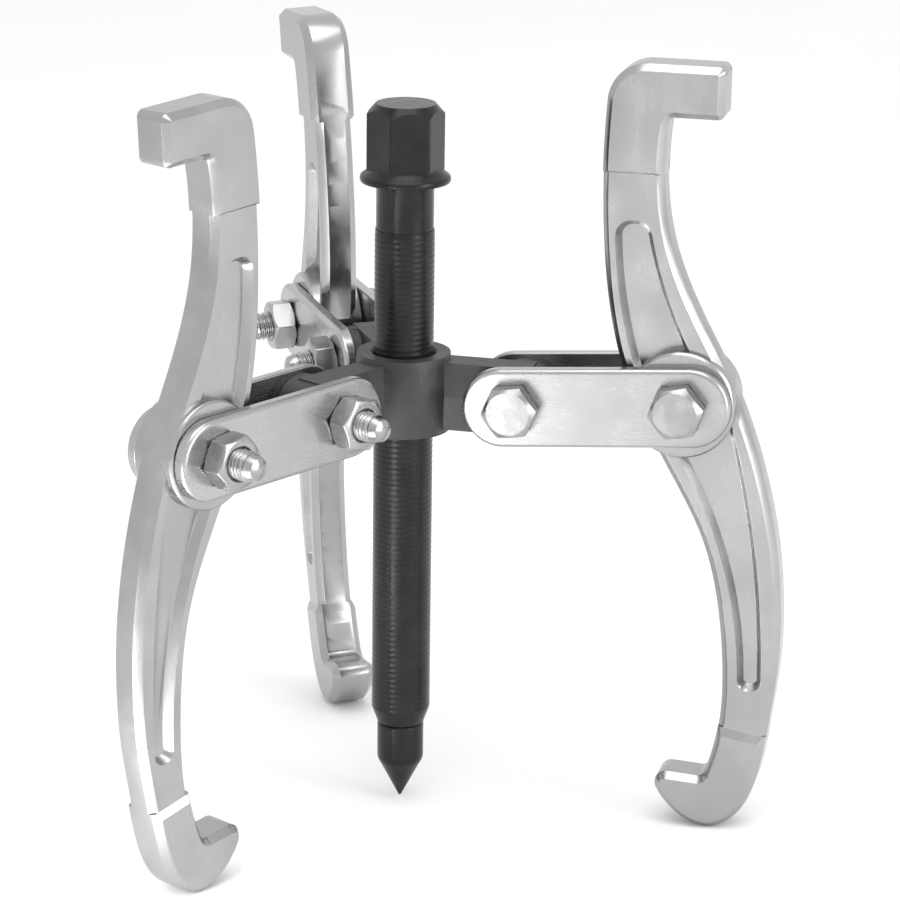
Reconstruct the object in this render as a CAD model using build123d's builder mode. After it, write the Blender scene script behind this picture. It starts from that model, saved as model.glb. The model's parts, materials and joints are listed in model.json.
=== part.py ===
from build123d import *
import math
import os

os.makedirs("parts", exist_ok=True)

# Three-jaw gear puller. Millimetres, +Z up along the screw, origin at the tip of the centre point.
# Arm a points along +X; arms b and c follow near 120 and 240 degrees.
# In each arm's plane, x runs outward from the screw axis and y runs up. An arm's lean tips its plane
# about its own radius, top towards the counter-clockwise side.

# screw
thread_d = 16.0
screw_low = 22.0
end_chamfer_h = 4.0
end_chamfer_r = 1.8
neck_d = 15.2
neck_low = 161.0
flange_low = 172.8
flange_d = 24.0
flange_t = 1.6
flare_h = 2.4
hex_af = 18.0
hex_low = 174.9
hex_turn = 21.8
screw_top = 193.6

# centre point
pin_d = 12.6
cone_h = 12.0
seat_d = 8.0
seat_depth = 14.0

# yoke
yoke_z = 116.4
hub_r = 13.2
hub_h = 21.0
arm_t = 9.4
arm_h = 18.4
arm_end_r = 9.6
forge_draft = 4.0
boss_r = 9.2
boss_t = 14.0

# link straps and their bolts
inner_r = 32.0
hole_pitch = 44.1
strap_end = 13.5
strap_half_h = 10.6
strap_t = 3.5
strap_gap = 14.2
bolt_d = 8.0
bolt_af = 13.0
bolt_head_h = 5.3
nut_h = 6.6
bolt_stick_out = 7.0
hole_clear = 0.1

# jaws
head_t = 12.4
shank_t = 10.0
web_t = 5.0
pad_t = 14.0
pad_r = 14.2
rim_bevel_side = 1.7
rim_bevel_deep = 1.9

# pose of each arm: azimuth, sideways lean, strap angle above level, jaw angle (hook inward is negative)
arms = {
    "a": (0, 0.0, 4.6, 0.0),
    "b": (121.5, 3.0, -0.5, -4.0),
    "c": (241.2, 0.0, -0.8, -3.5),
}


def arm_plane(azimuth, lean, angle=0.0, along=0.0):
    """Plane of one arm's link, turned by angle about its inner bolt and then moved out along itself."""
    a = math.radians(azimuth)
    b = math.radians(lean)
    t = math.radians(angle)
    radial = Vector(math.cos(a), math.sin(a), 0)
    level_side = Vector(math.sin(a), -math.cos(a), 0)
    side = level_side * math.cos(b) + Vector(0, 0, 1) * math.sin(b)
    rise = Vector(0, 0, 1) * math.cos(b) - level_side * math.sin(b)
    x_dir = radial * math.cos(t) + rise * math.sin(t)
    inner_bolt = radial * inner_r + Vector(0, 0, yoke_z)
    return Plane(origin=inner_bolt + x_dir * along, x_dir=x_dir, z_dir=side)


def hexagon_r(across_flats):
    return across_flats / math.sqrt(3)


# the drawing plane of an arm piece: x outward, y up, z towards the clockwise side
flat = Plane.XZ

# ---------------------------------------------------------------- forcing screw
with BuildPart() as forcing_screw:
    with BuildSketch(Plane.XZ):
        with BuildLine():
            Polyline(
                (0, screw_low + seat_depth),
                (seat_d / 2 + 0.05, screw_low + seat_depth),
                (seat_d / 2 + 0.05, screw_low),
                (thread_d / 2 - end_chamfer_r, screw_low),
                (thread_d / 2, screw_low + end_chamfer_h),
                (thread_d / 2, neck_low - 0.4),
                (neck_d / 2, neck_low),
                (neck_d / 2, flange_low),
                (flange_d / 2 - 0.6, flange_low),
            )
            Line((flange_d / 2 - 0.6, flange_low), (flange_d / 2, flange_low + 0.6))
            Line((flange_d / 2, flange_low + 0.6), (flange_d / 2, flange_low + flange_t))
            ThreePointArc(
                (flange_d / 2, flange_low + flange_t),
                (flange_d / 2 - 1.6, flange_low + flange_t + 1.1),
                (hexagon_r(hex_af) - 0.6, flange_low + flange_t + flare_h),
            )
            Polyline(
                (hexagon_r(hex_af) - 0.6, flange_low + flange_t + flare_h),
                (0, flange_low + flange_t + flare_h),
                (0, screw_low + seat_depth),
            )
        make_face()
    revolve(axis=Axis.Z)
    with BuildSketch(Plane.XY.offset(hex_low - 0.5)):
        RegularPolygon(radius=hexagon_r(hex_af), side_count=6, rotation=hex_turn)
    extrude(amount=screw_top - hex_low + 0.5)
    # the head's crown: corners turned down to a shallow cone and a small flat
    with BuildSketch(Plane.XZ):
        with BuildLine():
            Polyline(
                (hexagon_r(hex_af) - 2.6, screw_top),
                (hexagon_r(hex_af) + 0.6, screw_top - 3.6),
                (hexagon_r(hex_af) + 3, screw_top + 1),
                (hexagon_r(hex_af) - 2.6, screw_top + 1),
                close=True,
            )
        make_face()
    revolve(axis=Axis.Z, mode=Mode.SUBTRACT)
forcing_screw.part.label = "forcing_screw"
export_step(forcing_screw.part, "parts/forcing_screw.step")

# ---------------------------------------------------------------- centre point
with BuildPart() as centre_point:
    with BuildSketch(Plane.XZ):
        with BuildLine():
            Line((0, 0), (0.35, 0.1))
            Line((0.35, 0.1), (pin_d / 2 - 0.8, cone_h - 2.0))
            ThreePointArc(
                (pin_d / 2 - 0.8, cone_h - 2.0),
                (pin_d / 2 - 0.17, cone_h - 0.7),
                (pin_d / 2, cone_h + 0.8),
            )
            Polyline(
                (pin_d / 2, cone_h + 0.8),
                (pin_d / 2, screw_low - 0.5),
                (pin_d / 2 - 0.45, screw_low - 0.05),
                (seat_d / 2, screw_low - 0.05),
                (seat_d / 2, screw_low + seat_depth - 1.0),
                (seat_d / 2 - 0.8, screw_low + seat_depth - 0.2),
                (0, screw_low + seat_depth - 0.2),
                (0, 0),
            )
        make_face()
    revolve(axis=Axis.Z)
centre_point.part.label = "centre_point"
export_step(centre_point.part, "parts/centre_point.step")

# ---------------------------------------------------------------- yoke
with BuildPart() as yoke:
    for direction in (1, -1):
        with BuildSketch(Plane.XY.offset(yoke_z)):
            Circle(hub_r)
        extrude(amount=direction * hub_h / 2, taper=forge_draft)
        with BuildSketch(Plane.XY.offset(yoke_z)):
            for azimuth, lean, strap_angle, jaw_angle in arms.values():
                with Locations(Location((0, 0, 0), (0, 0, azimuth))):
                    Rectangle(inner_r + 4, arm_t, align=(Align.MIN, Align.CENTER))
        extrude(amount=direction * arm_h / 2, taper=forge_draft)
    for azimuth, lean, strap_angle, jaw_angle in arms.values():
        with BuildSketch(arm_plane(azimuth, lean).offset(-arm_t / 2)):
            with BuildLine():
                Line((-2, arm_h / 2), (0, arm_h / 2))
                ThreePointArc((0, arm_h / 2), (arm_end_r, 0), (0, -arm_h / 2))
                Line((0, -arm_h / 2), (-2, -arm_h / 2))
                Line((-2, -arm_h / 2), (-2, arm_h / 2))
            make_face()
        extrude(amount=arm_t)
        with BuildSketch(arm_plane(azimuth, lean).offset(-boss_t / 2)):
            Circle(boss_r)
        extrude(amount=boss_t)
        with BuildSketch(arm_plane(azimuth, lean).offset(-boss_t)):
            Circle(bolt_d / 2 + hole_clear / 2)
        extrude(amount=2 * boss_t, mode=Mode.SUBTRACT)
    with BuildSketch(Plane.XY.offset(yoke_z - hub_h)):
        Circle(thread_d / 2 + hole_clear / 2)
    extrude(amount=2 * hub_h, mode=Mode.SUBTRACT)
    bore_edges = yoke.edges().filter_by(GeomType.CIRCLE)
    bore_edges = bore_edges.filter_by(lambda e: abs(e.radius - thread_d / 2 - hole_clear / 2) < 0.01)
    chamfer(bore_edges, 0.8)
yoke.part.label = "yoke"
export_step(yoke.part, "parts/yoke.step")

# ---------------------------------------------------------------- strap
strap_left = strap_half_h - strap_end
strap_right = hole_pitch + strap_end - strap_half_h
with BuildPart() as strap:
    with BuildSketch(flat):
        with BuildLine():
            Line((strap_left, strap_half_h), (strap_right, strap_half_h))
            ThreePointArc(
                (strap_right, strap_half_h),
                (hole_pitch + strap_end, 0),
                (strap_right, -strap_half_h),
            )
            Line((strap_right, -strap_half_h), (strap_left, -strap_half_h))
            ThreePointArc(
                (strap_left, -strap_half_h),
                (-strap_end, 0),
                (strap_left, strap_half_h),
            )
        make_face()
    extrude(amount=strap_t)
    fillet(strap.edges().group_by(Axis.Y)[0], 1.3)
    fillet(strap.edges().group_by(Axis.Y)[-1], 0.5)
    with BuildSketch(flat.offset(-1)):
        with Locations((0, 0), (hole_pitch, 0)):
            Circle(bolt_d / 2 + hole_clear / 2)
    extrude(amount=strap_t + 2, mode=Mode.SUBTRACT)

# ---------------------------------------------------------------- bolt and nut
head_low = strap_gap / 2 + strap_t
shank_end = -(head_low + nut_h + bolt_stick_out)
with BuildPart() as bolt:
    with BuildSketch(flat.offset(shank_end + 3.0)):
        Circle(bolt_d / 2)
    extrude(amount=head_low - shank_end - 3.0)
    with BuildSketch(flat.offset(head_low)):
        RegularPolygon(radius=hexagon_r(bolt_af), side_count=6)
    extrude(amount=bolt_head_h)
    # rounded crown of the head
    with BuildSketch(Plane.XY):
        with BuildLine():
            ThreePointArc(
                (bolt_af / 2 - 0.6, -(head_low + bolt_head_h)),
                (bolt_af / 2 + 0.3, -(head_low + bolt_head_h) + 0.4),
                (bolt_af / 2 + 1.4, -(head_low + bolt_head_h) + 1.5),
            )
            Polyline(
                (bolt_af / 2 + 1.4, -(head_low + bolt_head_h) + 1.5),
                (bolt_af / 2 + 1.4, -(head_low + bolt_head_h) - 1),
                (bolt_af / 2 - 0.6, -(head_low + bolt_head_h) - 1),
                (bolt_af / 2 - 0.6, -(head_low + bolt_head_h)),
            )
        make_face()
    revolve(axis=Axis.Y, mode=Mode.SUBTRACT)
    # domed end beyond the nut
    with BuildSketch(Plane.XY):
        with BuildLine():
            Line((0, -shank_end - 3.0), (bolt_d / 2, -shank_end - 3.0))
            ThreePointArc(
                (bolt_d / 2, -shank_end - 3.0),
                (2.9, -shank_end - 0.9),
                (0, -shank_end),
            )
            Line((0, -shank_end), (0, -shank_end - 3.0))
        make_face()
    revolve(axis=Axis.Y)

with BuildPart() as nut:
    with BuildSketch(flat.offset(-head_low - nut_h)):
        RegularPolygon(radius=hexagon_r(bolt_af), side_count=6)
    extrude(amount=nut_h)
    for face, inward in ((head_low + nut_h, -1), (head_low, 1)):
        with BuildSketch(Plane.XY):
            with BuildLine():
                Polyline(
                    (bolt_af / 2 - 0.2, face),
                    (bolt_af / 2 + 1.4, face + inward * 0.95),
                    (bolt_af / 2 + 1.4, face - inward),
                    (bolt_af / 2 - 0.2, face - inward),
                    close=True,
                )
            make_face()
        revolve(axis=Axis.Y, mode=Mode.SUBTRACT)
    with BuildSketch(flat.offset(-head_low - nut_h - 1)):
        Circle(bolt_d / 2 + hole_clear / 2)
    extrude(amount=nut_h + 2, mode=Mode.SUBTRACT)

# ---------------------------------------------------------------- jaw
# drawn about its pivot hole, upper hook outward, lower hook inward
with BuildSketch(flat) as jaw_outline:
    with BuildLine():
        # top of the upper hook
        Line((8.5, 75.0), (8.5, 88.6))
        Line((8.5, 88.6), (-20.9, 88.6))
        # inner edge, running down to the lower hook
        Spline(
            (-20.9, 88.6),
            (-22.6, 62.0),
            (-21.6, 36.0),
            (-17.2, 11.5),
            (-6.2, -13.5),
            (6.2, -36.6),
            (12.0, -61.4),
            (13.1, -78.5),
            (8.9, -103.3),
            tangents=((-0.12, -1), (-0.33, -1)),
        )
        # hook seat
        Line((8.9, -103.3), (-4.9, -102.6))
        # rounded nose, bottom, and outer edge up to the upper hook
        Spline(
            (-4.9, -102.6),
            (-3.9, -107.4),
            (0.2, -112.9),
            (5.2, -116.4),
            (11.0, -117.4),
            (16.6, -114.7),
            (21.0, -108.8),
            (23.9, -99.8),
            (26.0, -86.0),
            (27.7, -72.0),
            (28.0, -58.0),
            (26.5, -40.0),
            (21.8, -18.5),
            (12.4, 6.2),
            (2.0, 26.0),
            (-4.2, 42.0),
            (-6.6, 57.0),
            (-5.8, 75.0),
        )
        Line((-5.8, 75.0), (8.5, 75.0))
    make_face()
    outline_corners = {
        (-20.9, 88.6): 10.5,
        (8.9, -103.3): 2.2,
        (-4.9, -102.6): 3.4,
        (-5.8, 75.0): 2.0,
        (8.5, 75.0): 1.9,
        (8.5, 88.6): 2.0,
    }
    for (x, y), radius in outline_corners.items():
        fillet(jaw_outline.vertices().sort_by_distance((x, y, 0))[0], radius)

# the two hook heads, thicker than the shank between them
with BuildPart() as jaw_heads:
    with BuildSketch(flat.offset(-head_t / 2)):
        add(jaw_outline.sketch_local)
    extrude(amount=head_t)
    # bevels along both rims of the forging
    for level in (-head_t / 2, head_t / 2):
        rim_face = jaw_heads.faces().filter_by(Axis.Y).sort_by(Axis.Y)[0 if level > 0 else -1]
        chamfer(rim_face.edges(), length=rim_bevel_side, length2=rim_bevel_deep, reference=rim_face)
    with BuildSketch(flat.offset(-head_t)):
        Polygon((-60, 60.0), (60, 60.0), (60, -95.4), (-10, -85.0), (-60, -77.5), align=None)
    extrude(amount=2 * head_t, mode=Mode.SUBTRACT)
    for side in (1, -1):
        # a steep step under the upper head, a long slope above the lower one
        with BuildSketch(flat.offset(side * shank_t / 2)):
            Polygon((-60, 60.0), (60, 60.0), (60, 40.0), (-60, 40.0), align=None)
        extrude(amount=side * 2, taper=-30, mode=Mode.SUBTRACT)
        with BuildSketch(flat.offset(side * shank_t / 2)):
            Polygon((-60, 20.0), (60, 20.0), (60, -95.4), (-10, -85.0), (-60, -77.5), align=None)
        extrude(amount=side * 2, taper=-60, mode=Mode.SUBTRACT)

with BuildPart() as jaw:
    with BuildSketch(flat.offset(-shank_t / 2)):
        add(jaw_outline.sketch_local)
    extrude(amount=shank_t)
    for level in (-shank_t / 2, shank_t / 2):
        rim_face = jaw.faces().filter_by(Axis.Y).sort_by(Axis.Y)[0 if level > 0 else -1]
        chamfer(rim_face.edges(), length=rim_bevel_side, length2=rim_bevel_deep, reference=rim_face)
    add(jaw_heads.part)
    for side in (1, -1):
        # web pockets above and below the pivot
        with BuildSketch(flat.offset(side * shank_t / 2)) as pocket:
            with BuildLine():
                ThreePointArc((-9.8, 47.8), (-4.6, 28.2), (7.0, 5.0))
                Line((7.0, 5.0), (-10.5, 2.0))
                ThreePointArc((-10.5, 2.0), (-17.2, 27.0), (-19.0, 47.8))
                Line((-19.0, 47.8), (-9.8, 47.8))
            make_face()
            for x in (-19.0, -9.8):
                fillet(pocket.vertices().sort_by_distance((x, 47.8, 0))[0], 4.4)
        extrude(amount=-side * (shank_t - web_t) / 2, taper=30, mode=Mode.SUBTRACT)
        with BuildSketch(flat.offset(side * shank_t / 2)) as pocket:
            with BuildLine():
                Line((-6.0, -6.0), (13.4, -5.0))
                ThreePointArc((13.4, -5.0), (20.9, -40.0), (23.6, -77.7))
                Line((23.6, -77.7), (17.2, -77.7))
                ThreePointArc((17.2, -77.7), (12.6, -44.3), (-6.0, -6.0))
            make_face()
            for x in (17.2, 23.6):
                fillet(pocket.vertices().sort_by_distance((x, -77.7, 0))[0], 3.0)
        extrude(amount=-side * (shank_t - web_t) / 2, taper=30, mode=Mode.SUBTRACT)
    # round pivot boss between the pockets, raised to meet the straps
    with BuildSketch(flat.offset(-pad_t / 2)):
        Circle(pad_r)
    extrude(amount=pad_t)
    boss_rims = jaw.edges().filter_by(GeomType.CIRCLE).filter_by(lambda e: abs(e.radius - pad_r) < 0.01)
    boss_rims = boss_rims.filter_by(lambda e: abs(abs(e.center().Y) - pad_t / 2) < 0.01)
    chamfer(boss_rims, 0.6)
    with BuildSketch(flat.offset(-head_t)):
        Circle(bolt_d / 2 + hole_clear / 2)
    extrude(amount=2 * head_t, mode=Mode.SUBTRACT)


# ---------------------------------------------------------------- placing and export
def place(piece, name, plane, side=0.0, turn=0.0):
    """Move a piece drawn in the XZ plane into an arm; side counts clockwise from the arm's plane."""
    to_arm = Location(plane) * Location(flat).inverse()
    moved = piece.moved(to_arm * Location((0, -side, 0)) * Location((0, 0, 0), (0, turn, 0)))
    moved.label = name
    export_step(moved, "parts/" + name + ".step")


strap_back = mirror(strap.part, about=Plane.XZ)

for arm, (azimuth, lean, strap_angle, jaw_angle) in arms.items():
    inner = arm_plane(azimuth, lean, strap_angle)
    outer = arm_plane(azimuth, lean, strap_angle, hole_pitch)
    hung = Location(outer) * Location((0, 0, 0), (0, 0, jaw_angle - strap_angle))
    place(jaw.part, "jaw_" + arm, Plane(hung))
    place(strap.part, "strap_" + arm + "_front", inner, side=strap_gap / 2)
    place(strap_back, "strap_" + arm + "_back", inner, side=-strap_gap / 2)
    place(bolt.part, "inner_bolt_" + arm, inner, turn=3)
    place(bolt.part, "outer_bolt_" + arm, outer, turn=6)
    place(nut.part, "inner_nut_" + arm, inner, turn=12)
    place(nut.part, "outer_nut_" + arm, outer, turn=-8)
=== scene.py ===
import json
import math

import bmesh
import bpy
from mathutils import Matrix, Vector


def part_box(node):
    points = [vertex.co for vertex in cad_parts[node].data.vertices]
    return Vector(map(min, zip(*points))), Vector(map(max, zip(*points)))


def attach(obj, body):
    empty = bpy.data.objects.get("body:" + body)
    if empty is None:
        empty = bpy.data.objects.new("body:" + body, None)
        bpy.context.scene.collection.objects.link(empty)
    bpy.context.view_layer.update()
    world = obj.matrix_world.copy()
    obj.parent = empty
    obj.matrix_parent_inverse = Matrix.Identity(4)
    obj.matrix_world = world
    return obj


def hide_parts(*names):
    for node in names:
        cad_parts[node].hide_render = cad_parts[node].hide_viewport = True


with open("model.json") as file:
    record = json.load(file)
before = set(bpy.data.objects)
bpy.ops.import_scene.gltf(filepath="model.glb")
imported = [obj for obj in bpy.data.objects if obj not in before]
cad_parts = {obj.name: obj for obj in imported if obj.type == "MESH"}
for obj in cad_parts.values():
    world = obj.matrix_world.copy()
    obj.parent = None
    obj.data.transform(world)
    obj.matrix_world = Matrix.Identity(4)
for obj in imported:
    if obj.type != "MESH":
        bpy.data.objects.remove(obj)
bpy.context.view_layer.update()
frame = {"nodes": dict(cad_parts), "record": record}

# Three-jaw gear puller. Metres, +Z up along the screw, arm a along +X.
MM = 0.001
# azimuth, sideways lean and strap angle of each arm, in degrees
ARMS = {"a": (0.0, 0.0, 4.6), "b": (121.5, 3.0, -0.5), "c": (241.2, 0.0, -0.8)}
# millimetres: inner bolts' distance from the screw, distance between a strap's bolts, yoke's middle height
INNER_R = 32.0
HOLE_PITCH = 44.1
YOKE_Z = 116.4


# ------------------------------------------------------------------ mesh helpers
# distance below which two points of a mesh are one
WELD_MM = 0.002
# edges sharper than this are shaded as edges
SHARP_DEGREES = 32.0
# points along each side of a hexagon
HEX_STEPS = 10


def new_object(name, bm):
    """Object from a bmesh drawn in millimetres, smooth shaded up to an angle."""
    bmesh.ops.remove_doubles(bm, verts=bm.verts, dist=WELD_MM)
    bmesh.ops.dissolve_degenerate(bm, edges=bm.edges, dist=WELD_MM)
    loose = [v for v in bm.verts if not v.link_faces]
    bmesh.ops.delete(bm, geom=loose, context="VERTS")
    bmesh.ops.recalc_face_normals(bm, faces=bm.faces)
    bmesh.ops.scale(bm, vec=(MM, MM, MM), verts=bm.verts)
    mesh = bpy.data.meshes.new(name)
    bm.to_mesh(mesh)
    bm.free()
    mesh.shade_smooth()
    mesh.set_sharp_from_angle(angle=math.radians(SHARP_DEGREES))
    obj = bpy.data.objects.new(name, mesh)
    bpy.context.scene.collection.objects.link(obj)
    return obj


def ring(bm, count, radius, height, turn=0.0):
    """Ring of vertices; radius and height are numbers or functions of the angle."""
    made = []
    for i in range(count):
        a = 2 * math.pi * i / count + turn
        r = radius(a) if callable(radius) else radius
        z = height(a) if callable(height) else height
        made.append(bm.verts.new((r * math.cos(a), r * math.sin(a), z)))
    return made


def bridge(bm, low, high):
    """Quads between two rings of the same count."""
    count = len(low)
    for i in range(count):
        j = (i + 1) % count
        bm.faces.new((low[i], low[j], high[j], high[i]))


def lathe(bm, count, profile):
    """Surface of revolution through (radius, height) points; returns its first and last rings."""
    rings = [ring(bm, count, r, z) for r, z in profile]
    for low, high in zip(rings, rings[1:]):
        bridge(bm, low, high)
    return rings[0], rings[-1]


def thread(bm, count, low, high, pitch, crest_r, root_r, low_r, high_r):
    """Right-hand helical thread between two heights, running out into plain rings of low_r and high_r."""
    # one turn of the profile: share of the pitch, share of the depth
    profile = ((0.0, 0.0), (0.26, 0.0), (0.56, 1.0), (0.70, 1.0))
    run_out = 1.2 * pitch
    turns = int((high - low) / pitch) + 2
    rows = [(n + s, depth) for n in range(-1, turns) for s, depth in profile]
    columns = []
    for i in range(count):
        a = 2 * math.pi * i / count
        column = []
        for share, depth in rows:
            z = low + pitch * (share + i / count)
            z = min(max(z, low), high)
            r = root_r + (crest_r - root_r) * depth
            from_low = min(1.0, (z - low) / run_out)
            from_high = min(1.0, (high - z) / run_out)
            r = low_r + (r - low_r) * from_low
            r = high_r + (r - high_r) * from_high
            column.append(bm.verts.new((r * math.cos(a), r * math.sin(a), z)))
        columns.append(column)
    per_turn = len(profile)
    for i in range(count):
        here = columns[i]
        wrap = i == count - 1
        there = columns[0][per_turn:] if wrap else columns[i + 1]
        for k in range(min(len(here), len(there)) - 1):
            bm.faces.new((here[k], there[k], there[k + 1], here[k + 1]))


def hex_radius(across_flats, turn):
    """Radius of a hexagon's wall as a function of angle."""
    def radius(a):
        sector = math.radians(60)
        within = (a - turn) % sector - sector / 2
        return across_flats / 2 / math.cos(within)
    return radius


def hexagon(bm, across_flats, low, high, turn, low_chamfer=None, high_chamfer=None):
    """Hexagonal prism whose corners are turned down by shallow cones.
    A chamfer is (flat radius, rise per mm). Returns the rings of its lower and upper flats."""
    count = 6 * HEX_STEPS
    wall = hex_radius(across_flats, turn)

    def edge(height, chamfer, direction):
        if chamfer is None:
            return lambda a: height
        flat_r, rise = chamfer
        return lambda a: height + direction * rise * max(0.0, wall(a) - flat_r)

    bottom = ring(bm, count, wall, edge(low, low_chamfer, 1), turn)
    top = ring(bm, count, wall, edge(high, high_chamfer, -1), turn)
    bridge(bm, bottom, top)
    if low_chamfer:
        flat = ring(bm, count, low_chamfer[0], low, turn)
        bridge(bm, flat, bottom)
        bottom = flat
    if high_chamfer:
        flat = ring(bm, count, high_chamfer[0], high, turn)
        bridge(bm, top, flat)
        top = flat
    return bottom, top


def dome(bm, last, profile):
    """Closes a ring with further rings of (radius, height), the last one filled."""
    count = len(last)
    turn = math.atan2(last[0].co.y, last[0].co.x)
    for r, z in profile:
        following = ring(bm, count, r, z, turn)
        bridge(bm, last, following)
        last = following
    bm.faces.new(last)


def soften(obj, width_mm, degrees):
    """Rounds the edges of a piece that are sharper than an angle."""
    bevel = obj.modifiers.new("edge", "BEVEL")
    bevel.width = width_mm * MM
    bevel.segments = 2
    bevel.limit_method = "ANGLE"
    bevel.angle_limit = math.radians(degrees)


# angle below which two triangles of a CAD mesh are one face
FLAT_DEGREES = 0.4


def soften_cad(node, width_mm, degrees):
    """Same for a CAD node: its triangles are first joined into their flat faces."""
    obj = frame["nodes"][node]
    weld = obj.modifiers.new("weld", "WELD")
    weld.merge_threshold = WELD_MM * MM
    planar = obj.modifiers.new("planar", "DECIMATE")
    planar.decimate_type = "DISSOLVE"
    planar.angle_limit = math.radians(FLAT_DEGREES)
    soften(obj, width_mm, degrees)


# ------------------------------------------------------------------ materials
# how strongly each finer layer of a noise counts
NOISE_ROUGHNESS = 0.55
# the part of a noise's range over which it runs from one look to the other
NOISE_LOW = 0.3
NOISE_HIGH = 0.7


class Shader:
    """A material built from object coordinates, with short names for the nodes it uses most."""

    def __init__(self, name, metallic, specular=0.5):
        self.material = bpy.data.materials.new(name)
        self.material.use_nodes = True
        self.tree = self.material.node_tree
        self.bsdf = self.tree.nodes["Principled BSDF"]
        self.bsdf.inputs["Metallic"].default_value = metallic
        self.bsdf.inputs["Specular IOR Level"].default_value = specular
        self.place = self.tree.nodes.new("ShaderNodeTexCoord").outputs["Object"]

    def link(self, a, b):
        self.tree.links.new(a, b)

    def scaled(self, scale):
        """Object coordinates stretched along the axes."""
        mapping = self.tree.nodes.new("ShaderNodeMapping")
        mapping.vector_type = "POINT"
        mapping.inputs["Scale"].default_value = scale
        self.link(self.place, mapping.inputs["Vector"])
        return mapping.outputs["Vector"]

    def noise(self, scale, detail, place=None):
        made = self.tree.nodes.new("ShaderNodeTexNoise")
        made.inputs["Scale"].default_value = scale
        made.inputs["Detail"].default_value = detail
        made.inputs["Roughness"].default_value = NOISE_ROUGHNESS
        self.link(place or self.place, made.inputs["Vector"])
        return made.outputs["Fac"]

    def ramp(self, noise, to_low=0.0, to_high=1.0):
        """Turns a noise into a value between two limits."""
        made = self.tree.nodes.new("ShaderNodeMapRange")
        made.interpolation_type = "SMOOTHSTEP"
        made.inputs["From Min"].default_value = NOISE_LOW
        made.inputs["From Max"].default_value = NOISE_HIGH
        made.inputs["To Min"].default_value = to_low
        made.inputs["To Max"].default_value = to_high
        self.link(noise, made.inputs["Value"])
        return made.outputs["Result"]

    def add(self, a, b):
        made = self.tree.nodes.new("ShaderNodeMath")
        made.operation = "ADD"
        self.link(a, made.inputs[0])
        self.link(b, made.inputs[1])
        return made.outputs["Value"]

    def bump(self, layers):
        """Stacks (height, distance in metres, strength) layers of bump."""
        normal = None
        for height, distance, strength in layers:
            made = self.tree.nodes.new("ShaderNodeBump")
            made.inputs["Distance"].default_value = distance
            made.inputs["Strength"].default_value = strength
            self.link(height, made.inputs["Height"])
            if normal is not None:
                self.link(normal, made.inputs["Normal"])
            normal = made.outputs["Normal"]
        self.link(normal, self.bsdf.inputs["Normal"])

    def colour(self, noise, a, b):
        """Colours the surface between two colours by a noise."""
        made = self.tree.nodes.new("ShaderNodeMix")
        made.data_type = "RGBA"
        self.link(self.ramp(noise), made.inputs["Factor"])
        for key, value in (("A", a), ("B", b)):
            socket = [s for s in made.inputs if s.name == key and s.type == "RGBA"][0]
            socket.default_value = (*value, 1)
        mixed = [s for s in made.outputs if s.type == "RGBA"][0]
        self.link(mixed, self.bsdf.inputs["Base Color"])

    def roughness(self, socket):
        self.link(socket, self.bsdf.inputs["Roughness"])


def jaw_material(name):
    s = Shader(name, metallic=1.0)
    cloud = s.noise(60.0, 2.0)
    broad = s.noise(24.0, 1.0)
    grain = s.noise(1.0, 1.0, place=s.scaled((420.0, 420.0, 60.0)))
    s.colour(cloud, (0.36, 0.365, 0.37), (0.41, 0.415, 0.415))
    s.roughness(s.add(s.ramp(cloud, 0.20, 0.27), s.ramp(grain, 0.0, 0.03)))
    s.bump([(broad, 0.0004, 0.15), (grain, 0.00001, 0.12)])
    return s.material


def strap_material(name):
    s = Shader(name, metallic=1.0)
    cloud = s.noise(45.0, 3.0)
    grain = s.noise(1.0, 2.0, place=s.scaled((250.0, 250.0, 2600.0)))
    s.colour(cloud, (0.40, 0.40, 0.405), (0.45, 0.45, 0.45))
    s.roughness(s.add(s.ramp(cloud, 0.20, 0.27), s.ramp(grain, 0.0, 0.05)))
    s.bump([(cloud, 0.0001, 0.15), (grain, 0.000003, 0.15)])
    return s.material


def bolt_material(name):
    s = Shader(name, metallic=1.0)
    cloud = s.noise(150.0, 3.0)
    pits = s.noise(1400.0, 2.0)
    s.colour(cloud, (0.34, 0.345, 0.35), (0.44, 0.44, 0.44))
    s.roughness(s.ramp(cloud, 0.22, 0.32))
    s.bump([(cloud, 0.0001, 0.2), (pits, 0.000004, 0.3)])
    return s.material


def yoke_material(name):
    s = Shader(name, metallic=0.0)
    cloud = s.noise(90.0, 4.0)
    grain = s.noise(1100.0, 3.0)
    lumps = s.noise(300.0, 3.0)
    s.colour(cloud, (0.026, 0.026, 0.026), (0.048, 0.048, 0.048))
    s.roughness(s.add(s.ramp(cloud, 0.38, 0.52), s.ramp(grain, 0.0, 0.1)))
    s.bump([(lumps, 0.0003, 0.35), (grain, 0.00006, 0.5)])
    return s.material


def screw_material(name):
    s = Shader(name, metallic=0.0, specular=0.28)
    cloud = s.noise(120.0, 4.0)
    streak = s.noise(1.0, 3.0, place=s.scaled((500.0, 500.0, 40.0)))
    grain = s.noise(1600.0, 2.0)
    s.colour(cloud, (0.006, 0.006, 0.006), (0.013, 0.013, 0.013))
    s.roughness(s.add(s.ramp(streak, 0.20, 0.30), s.ramp(grain, 0.0, 0.06)))
    s.bump([(cloud, 0.0001, 0.3), (grain, 0.00001, 0.3)])
    return s.material


MATERIALS = {
    "jaw": jaw_material("satin_chrome"),
    "strap": strap_material("satin_plate"),
    "bolt": bolt_material("bright_zinc"),
    "yoke": yoke_material("grey_forging"),
    "screw": screw_material("black_oxide"),
    "point": screw_material("black_point"),
}


def dress(obj, slot):
    """Gives a piece the finish of one of the record's material slots."""
    if obj.material_slots:
        for s in obj.material_slots:
            s.material = MATERIALS[slot]
    else:
        obj.data.materials.append(MATERIALS[slot])
    return obj


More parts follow.
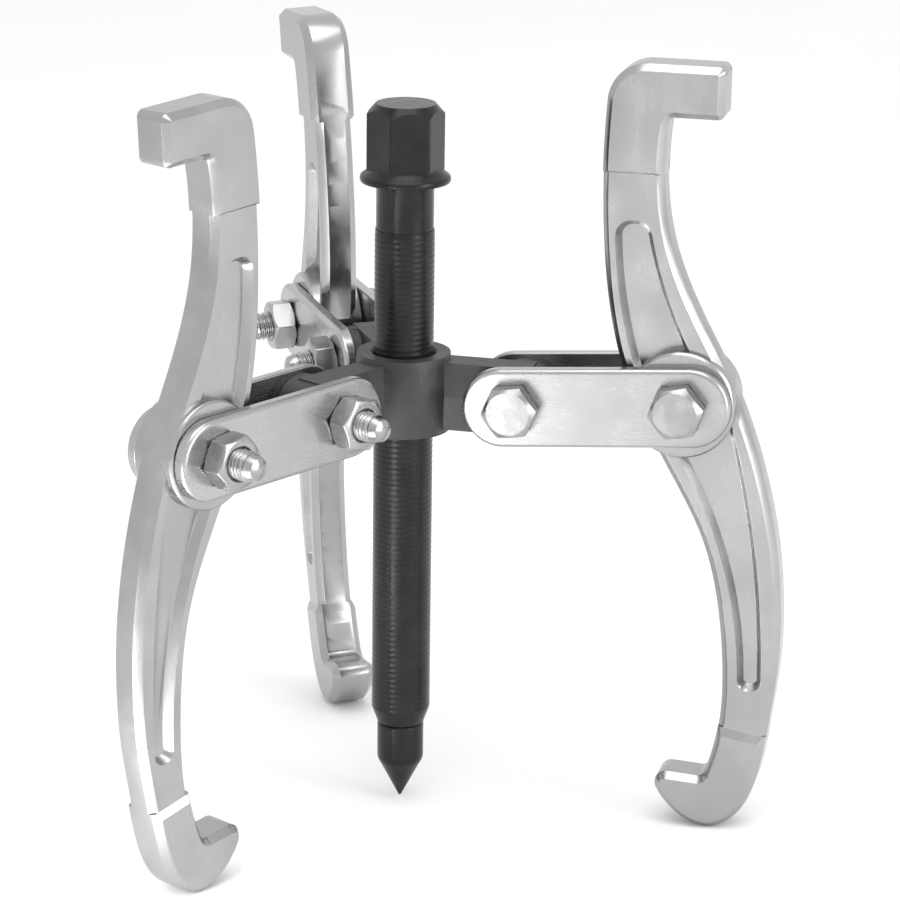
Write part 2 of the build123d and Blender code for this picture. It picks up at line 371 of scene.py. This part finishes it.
# ------------------------------------------------------------------ CAD nodes that stay
for part in frame["record"]["subparts"]:
    dress(frame["nodes"][part["node"]], part["material_slot"])
for arm in ARMS:
    soften_cad("jaw_" + arm, width_mm=0.3, degrees=24)
soften_cad("yoke", width_mm=0.5, degrees=20)
soften_cad("centre_point", width_mm=0.15, degrees=24)

# ------------------------------------------------------------------ forcing screw
screw_low_corner, screw_high_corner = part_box("forcing_screw")
SCREW_LOW = screw_low_corner.z / MM
SCREW_TOP = screw_high_corner.z / MM
COUNT = 72
BORE_R = 4.05
BORE_DEPTH = 14.0
END_CHAMFER_H = 2.8
THREAD_PITCH = 1.5
NECK_R = 7.6
THREAD_HIGH = SCREW_TOP - 33.4
FLANGE_R = 11.95
FLANGE_LOW = SCREW_TOP - 20.8
HEX_LOW = SCREW_TOP - 18.7
HEX_AF = 18.0
HEX_TURN = 21.8

bm = bmesh.new()
lower_end = [(BORE_R, BORE_DEPTH), (BORE_R, 0.5), (4.6, 0), (6.0, 0), (6.35, 0.12), (7.25, END_CHAMFER_H)]
lathe(bm, COUNT, [(r, SCREW_LOW + z) for r, z in lower_end])
thread(bm, COUNT, SCREW_LOW + END_CHAMFER_H, THREAD_HIGH, THREAD_PITCH,
       crest_r=7.95, root_r=7.88, low_r=7.3, high_r=7.78)
lathe(bm, COUNT, [(NECK_R, THREAD_HIGH), (NECK_R, FLANGE_LOW - 0.5)])
flange = [(NECK_R, -0.5), (7.75, -0.12), (8.1, 0), (11.3, 0), (11.72, 0.13), (FLANGE_R, 0.5),
          (FLANGE_R, 1.3), (11.75, 1.75), (11.2, 2.2), (10.5, 2.7), (10.0, 3.3), (9.0, 3.9)]
lathe(bm, COUNT, [(r, FLANGE_LOW + z) for r, z in flange])
bottom, top = hexagon(bm, HEX_AF, HEX_LOW, SCREW_TOP, math.radians(HEX_TURN), None, (7.9, 1.15))
dome(bm, top, [(7.7, SCREW_TOP), (4.0, SCREW_TOP), (1.5, SCREW_TOP)])
screw = dress(new_object("threaded_screw", bm), "screw")
soften(screw, 0.3, 50)
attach(screw, "screw")
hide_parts("forcing_screw")

# ------------------------------------------------------------------ bolts and nuts
def bolt_matrix(arm, along):
    """Frame of a bolt: its axis is local Z, towards the head, and local X runs inward along the straps."""
    azimuth, lean, angle = (math.radians(v) for v in ARMS[arm])
    radial = Vector((math.cos(azimuth), math.sin(azimuth), 0))
    level_side = Vector((math.sin(azimuth), -math.cos(azimuth), 0))
    height = Vector((0, 0, 1))
    side = level_side * math.cos(lean) + height * math.sin(lean)
    rise = height * math.cos(lean) - level_side * math.sin(lean)
    outward = radial * math.cos(angle) + rise * math.sin(angle)
    middle = (radial * INNER_R + height * YOKE_Z + outward * along) * MM
    turn = Matrix((-outward, side.cross(-outward), side)).transposed().to_4x4()
    return Matrix.Translation(middle) @ turn


# heights along a bolt's axis, from the middle of its arm, and its sizes
HEAD_LOW = 10.6
HEAD_TOP = 15.9
NUT_LOW = -17.2
BOLT_END = -24.2
THREAD_TOP = -9.0
BOLT_R = 3.95
BOLT_AF = 13.0
BOLT_THREAD_PITCH = 1.25
WASHER_FACE_H = 0.25


def bolt_mesh(name, turn):
    """Bolt with a domed end, a thread and a hexagon head."""
    bm = bmesh.new()
    count = 60
    thread_low = BOLT_END + 2.6
    face = HEAD_LOW + WASHER_FACE_H
    thread(bm, count, thread_low, THREAD_TOP, BOLT_THREAD_PITCH,
           crest_r=BOLT_R, root_r=3.35, low_r=3.5, high_r=BOLT_R)
    lowest, highest = lathe(bm, count, [(3.2, BOLT_END + 1.7), (3.5, thread_low)])
    dome(bm, lowest, [(2.9, BOLT_END + 0.9), (1.6, BOLT_END + 0.22), (0.6, BOLT_END)])
    lathe(bm, count, [(BOLT_R, THREAD_TOP), (BOLT_R, face), (5.9, face), (5.9, HEAD_LOW)])
    bottom, top = hexagon(bm, BOLT_AF, face, HEAD_TOP, turn, (6.0, 0.5), (5.7, 0.75))
    dome(bm, top, [(5.5, HEAD_TOP), (3.0, HEAD_TOP), (1.0, HEAD_TOP)])
    return new_object(name, bm)


def nut_mesh(name, turn):
    """Hexagon nut with both faces turned down and a countersunk bore."""
    bm = bmesh.new()
    bottom, top = hexagon(bm, BOLT_AF, NUT_LOW, -HEAD_LOW, turn, (6.1, 0.6), (6.1, 0.6))
    count = len(bottom)
    bores = []
    for last, height, inward in ((bottom, NUT_LOW, 1), (top, -HEAD_LOW, -1)):
        rim = ring(bm, count, 4.6, height, turn)
        bore = ring(bm, count, 4.0, height + inward * 0.6, turn)
        bridge(bm, last, rim)
        bridge(bm, rim, bore)
        bores.append(bore)
    bridge(bm, *bores)
    return new_object(name, bm)


# place, distance out from the inner bolts, and the turns of head and nut in degrees
FIXINGS = (("inner", 0.0, 3, 12), ("outer", HOLE_PITCH, 6, -8))
for arm in ARMS:
    for place, along, bolt_turn, nut_turn in FIXINGS:
        lifted = bolt_matrix(arm, along)
        bolt = dress(bolt_mesh(f"{place}_threaded_bolt_{arm}", math.radians(bolt_turn)), "bolt")
        nut = dress(nut_mesh(f"{place}_hex_nut_{arm}", math.radians(nut_turn)), "bolt")
        for obj, old in ((bolt, f"{place}_bolt_{arm}"), (nut, f"{place}_nut_{arm}")):
            obj.data.transform(lifted)
            soften(obj, 0.22, 40)
            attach(obj, "link_" + arm)
            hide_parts(old)

# ------------------------------------------------------------------ floor, light, camera
FLOOR_R = 30000
FLOOR_GAP = 0.2

bm = bmesh.new()
bmesh.ops.create_circle(bm, cap_ends=True, segments=96, radius=FLOOR_R)
floor = new_object("floor", bm)
# the floor passes just under the lowest point of each jaw
feet = []
for arm in ARMS:
    jaw = frame["nodes"]["jaw_" + arm]
    feet.append(min((jaw.matrix_world @ v.co for v in jaw.data.vertices), key=lambda p: p.z))
normal = (feet[1] - feet[0]).cross(feet[2] - feet[0]).normalized()
floor.rotation_mode = "QUATERNION"
floor.rotation_quaternion = normal.to_track_quat("Z", "Y")
floor.location = sum(feet, Vector()) / 3 - normal * FLOOR_GAP * MM
paper = Shader("pale_floor", metallic=0.0, specular=0.2)
paper.colour(paper.noise(3.0, 3.0), (0.89, 0.89, 0.89), (0.91, 0.91, 0.91))
paper.bsdf.inputs["Roughness"].default_value = 0.9
floor.data.materials.append(paper.material)

world = bpy.data.worlds.new("studio")
world.use_nodes = True
world.node_tree.nodes["Background"].inputs["Color"].default_value = (1, 1, 1, 1)
world.node_tree.nodes["Background"].inputs["Strength"].default_value = 1.0
bpy.context.scene.world = world
bpy.context.scene.view_settings.view_transform = "Standard"


def softbox(name, position, target, width, height, watts, along=(1, 0, 0)):
    """Area light aimed at a point, its width along a direction, unseen by the camera."""
    light = bpy.data.lights.new(name, "AREA")
    light.shape = "RECTANGLE"
    light.size = width
    light.size_y = height
    light.energy = watts
    obj = bpy.data.objects.new(name, light)
    obj.location = position
    obj.rotation_mode = "QUATERNION"
    facing_back = (Vector(position) - Vector(target)).normalized()
    upright = facing_back.cross(Vector(along)).normalized()
    axes = Matrix((upright.cross(facing_back), upright, facing_back))
    obj.rotation_quaternion = axes.transposed().to_quaternion()
    obj.visible_camera = False
    bpy.context.scene.collection.objects.link(obj)


softbox("over", (0.1, -0.3, 1.2), (0.05, 0.0, 0.1), 0.9, 0.9, 6)
softbox("right", (0.9, -0.35, 0.35), (0, 0, 0.1), 0.35, 0.8, 4)
# lights a line of floor that the screw's left half mirrors
softbox("strip", (-0.16, -0.41, 0.03), (-0.16, -0.41, 0.0), 0.6, 0.04, 1.6, (0.36, 0.93, 0))

CAMERA_PLACE = (0.22365, -0.85514, 0.37090)
CAMERA_BACK = (0.22867, -0.92820, 0.29354)
CAMERA_RIGHT = (0.97097, 0.23921, 0)
CAMERA_ROLL = math.radians(-0.77)

camera_data = bpy.data.cameras.new("camera")
camera = bpy.data.objects.new("camera", camera_data)
camera_data.lens = 138.24
camera_data.sensor_width = 36.0
camera_data.clip_start = 0.05
camera_data.clip_end = 80
back = Vector(CAMERA_BACK).normalized()
right = Vector(CAMERA_RIGHT).normalized()
up = back.cross(right)
x_axis = right * math.cos(CAMERA_ROLL) - up * math.sin(CAMERA_ROLL)
y_axis = right * math.sin(CAMERA_ROLL) + up * math.cos(CAMERA_ROLL)
turn = Matrix((x_axis, y_axis, back)).transposed().to_4x4()
camera.matrix_world = Matrix.Translation(CAMERA_PLACE) @ turn
bpy.context.scene.collection.objects.link(camera)
bpy.context.scene.camera = camera
